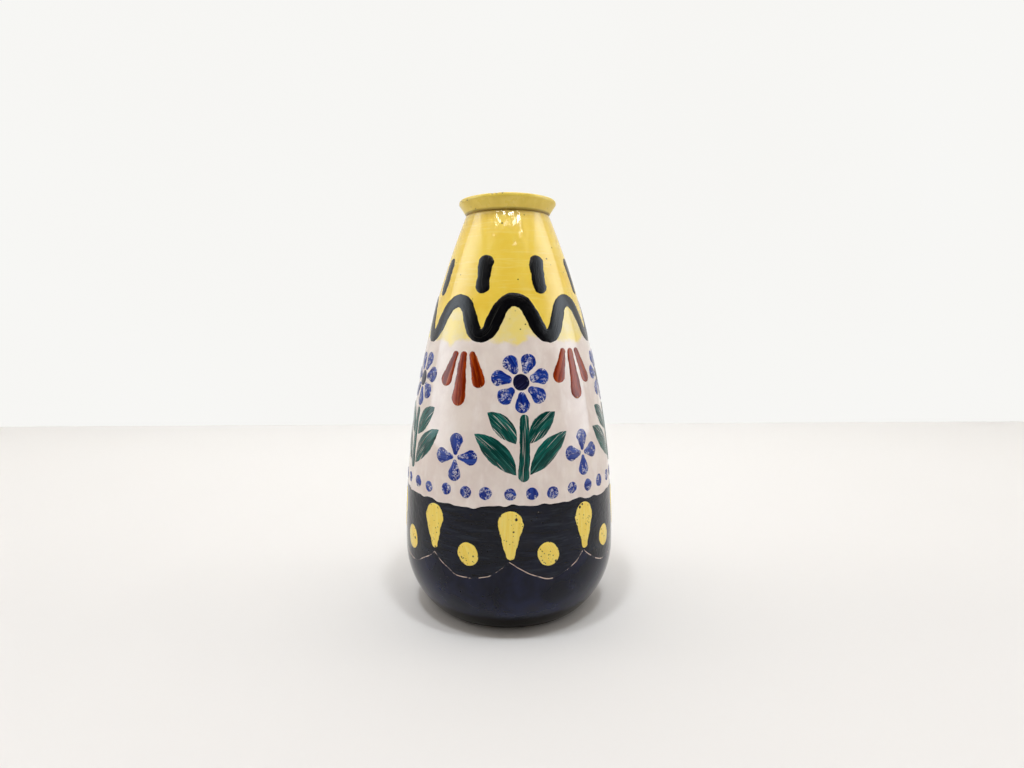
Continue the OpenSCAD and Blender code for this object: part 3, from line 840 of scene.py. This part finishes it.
# Small lamps above the viewer that glint on the neck: azimuth, rise, width, height and brightness
NECK_SPOT = (0, 0, 0.228)
GLINTS = (
    (-33.0, 53.4, 0.18, 0.007, 34.0), (-15.0, 53.3, 0.18, 0.007, 38.0), (11.5, 53.3, 0.19, 0.008, 46.0),
    (34.5, 53.4, 0.11, 0.007, 36.0), (-31.5, 50.7, 0.18, 0.008, 28.0), (-3.0, 50.9, 0.24, 0.006, 11.0),
    (20.0, 50.7, 0.15, 0.010, 24.0), (34.5, 50.5, 0.15, 0.018, 34.0), (-36.0, 48.8, 0.12, 0.007, 12.0),
    (38.5, 48.6, 0.07, 0.007, 18.0), (36.5, 46.8, 0.13, 0.007, 20.0), (-38.0, 45.4, 0.08, 0.005, 10.0),
    (16.0, 44.8, 0.12, 0.004, 10.0))

# The room: how the glaze mirrors it, dark behind the viewer, what light it gives and how it is seen
DARK_SIDE, ROOM_GLOW, ROOM_DARK = (0.0, -0.96, 0.28), 1.8, 0.02
ROOM_LIGHT, ROOM_SEEN, ROOM_TINT = 0.19, 0.92, (0.99, 0.99, 1.0, 1)


def stage_sheet(name, near, far, material):
    """A flat piece of the surroundings between two edges, each given by its (y, z)."""
    corners = [(-STAGE_HALF, *near), (STAGE_HALF, *near), (STAGE_HALF, *far), (-STAGE_HALF, *far)]
    mesh = bpy.data.meshes.new(name)
    mesh.from_pydata(corners, [], [(0, 1, 2, 3)])
    mesh.materials.append(material)
    sheet = bpy.data.objects.new(name, mesh)
    bpy.context.scene.collection.objects.link(sheet)


def build_table():
    """A pale table that is lighter towards the wall."""
    look = Look("pale_table")
    place = look.place()
    tone = look.mix(look.noise(place, 3.0, 2.0), srgb(223, 222, 223), srgb(220, 219, 220))
    back = look.fit(look.split(place)[1], -0.2, 0.6, 0.0, 0.9)
    tone = look.mix(back, tone, srgb(243, 243, 244))
    material = look.finish(tone, 0.7, ior=1.15)
    stage_sheet("table_top", (TABLE_FRONT, 0), (TABLE_BACK, 0), material)


def build_wall():
    """A pale wall that looks evenly lit, also in the glaze."""
    look = Look("pale_wall")
    tone = look.mix(look.noise(look.place(), 2.0, 2.0), srgb(248, 248, 246), srgb(246, 245, 242))
    material = look.finish(tone, 0.8)
    ray = look.add("ShaderNodeLightPath").outputs
    direct = look.math("MAXIMUM", ray["Is Camera Ray"], ray["Is Glossy Ray"])
    glow = look.add("ShaderNodeEmission", {"Color": tone, "Strength": 1.0}).outputs[0]
    both = look.add("ShaderNodeMixShader", {0: direct, 1: look.surface.outputs[0], 2: glow})
    look.plug(look.out.inputs[0], both.outputs[0])
    stage_sheet("back_wall", (WALL_Y, WALL_LOW), (WALL_Y, WALL_HIGH), material)


def area_light(name, place, target, size, radiance, mirrored=True, lit=True, tint=(1, 1, 1)):
    """A soft panel whose brightness is given as seen in a mirror."""
    data = bpy.data.lights.new(name, "AREA")
    data.shape = "RECTANGLE"
    data.size, data.size_y = size
    data.energy = radiance * math.pi * size[0] * size[1]
    data.color = tint
    light = bpy.data.objects.new(name, data)
    light.location = place
    light.rotation_euler = (Vector(target) - Vector(place)).to_track_quat("-Z", "Y").to_euler()
    light.visible_glossy, light.visible_diffuse = mirrored, lit
    bpy.context.scene.collection.objects.link(light)
    return data


def fade_across(light, side):
    """Lets a window fade out towards its edge nearest the viewer."""
    light.use_nodes = True
    nodes = Nodes(light.node_tree)
    across = nodes.split(nodes.add("ShaderNodeNewGeometry").outputs["Parametric"])[0]
    front = 0.0 if side > 0 else 1.0
    fade = nodes.fit(across, front, abs(front - WINDOW_FADE))
    nodes.plug(nodes.tree.nodes["Emission"].inputs["Strength"], fade)


def build_windows():
    """The two windows, seen only in the glaze."""
    turn = math.radians(WINDOW_AT)
    for side, name in SIDES:
        place = (side * WINDOW_FAR * math.sin(turn), -WINDOW_FAR * math.cos(turn), WINDOW_Z)
        window = area_light(name + "_window", place, WINDOW_AIM, WINDOW_SIZE, WINDOW_GLOW,
                            lit=False, tint=SKY)
        fade_across(window, side)


def build_lamps():
    """A wide panel overhead, lamps that draw the soft shadows, and weak fills."""
    area_light("top_panel", *TOP_PANEL, tint=WARM)
    for kind, tint, ((x, y, z), *rest) in (("_lamp", COOL, SIDE_LAMP), ("_fill", WARM, SIDE_FILL)):
        for side, name in SIDES:
            area_light(name + kind, (side * x, y, z), *rest, mirrored=False, tint=tint)
    area_light("front_fill", *FRONT_FILL, mirrored=False, tint=WARM)


def build_glints():
    """The small lamps, seen only in the glaze."""
    for k, (azimuth, rise, width, height, radiance) in enumerate(GLINTS):
        turn, up = math.radians(azimuth), math.radians(rise)
        flat = math.cos(up)
        place = (math.sin(turn) * flat, -math.cos(turn) * flat, NECK_SPOT[2] + math.sin(up))
        area_light("glint_%d" % k, place, NECK_SPOT, (width, height), radiance, lit=False)


def build_world():
    """The room round the vase."""
    world = bpy.data.worlds.new("room")
    world.use_nodes = True
    nodes = Nodes(world.node_tree)
    way = nodes.add("ShaderNodeTexCoord").outputs["Generated"]
    toward = nodes.add("ShaderNodeVectorMath", {0: way, 1: DARK_SIDE}, operation="DOT_PRODUCT")
    mirrored = nodes.fit(toward.outputs["Value"], 0.10, 0.72, ROOM_GLOW, ROOM_DARK)
    ray = nodes.add("ShaderNodeLightPath").outputs
    strength = nodes.blend(ray["Is Glossy Ray"], nodes.times(mirrored, ROOM_LIGHT), mirrored)
    strength = nodes.blend(ray["Is Camera Ray"], strength, ROOM_SEEN)
    background = nodes.tree.nodes["Background"]
    nodes.plug(background.inputs["Color"], ROOM_TINT)
    nodes.plug(background.inputs["Strength"], strength)
    bpy.context.scene.world = world


def build_camera():
    """The viewpoint of the photograph."""
    data = bpy.data.cameras.new("camera")
    data.sensor_width = SENSOR_MM
    data.lens = FOCAL_SHARE * SENSOR_MM
    data.clip_start = CLIP_NEAR
    camera = bpy.data.objects.new("camera", data)
    pitch, yaw, roll = (math.radians(v) for v in (90 - CAMERA_DOWN, CAMERA_YAW, CAMERA_ROLL))
    camera.matrix_world = (Matrix.Translation(CAMERA_PLACE) @ Matrix.Rotation(yaw, 4, "Z")
                           @ Matrix.Rotation(pitch, 4, "X") @ Matrix.Rotation(roll, 4, "Z"))
    bpy.context.scene.collection.objects.link(camera)
    bpy.context.scene.camera = camera
    bpy.context.scene.view_settings.view_transform = "Standard"


def dress_cad():
    """Materials on the CAD nodes that stay in the picture as they are."""
    clay = bare_clay()
    for name, material in (("clay_body", clay), ("rim_collar", clay), ("liner_glaze", liner())):
        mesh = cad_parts[name].data
        mesh.materials.clear()
        mesh.materials.append(material)


build_camera()
build_table()
build_wall()
build_windows()
build_lamps()
build_glints()
build_world()
dress_cad()
build_coats()
build_collar()
build_neck_paint()
build_sprigs()
build_gaps()
build_base_paint()
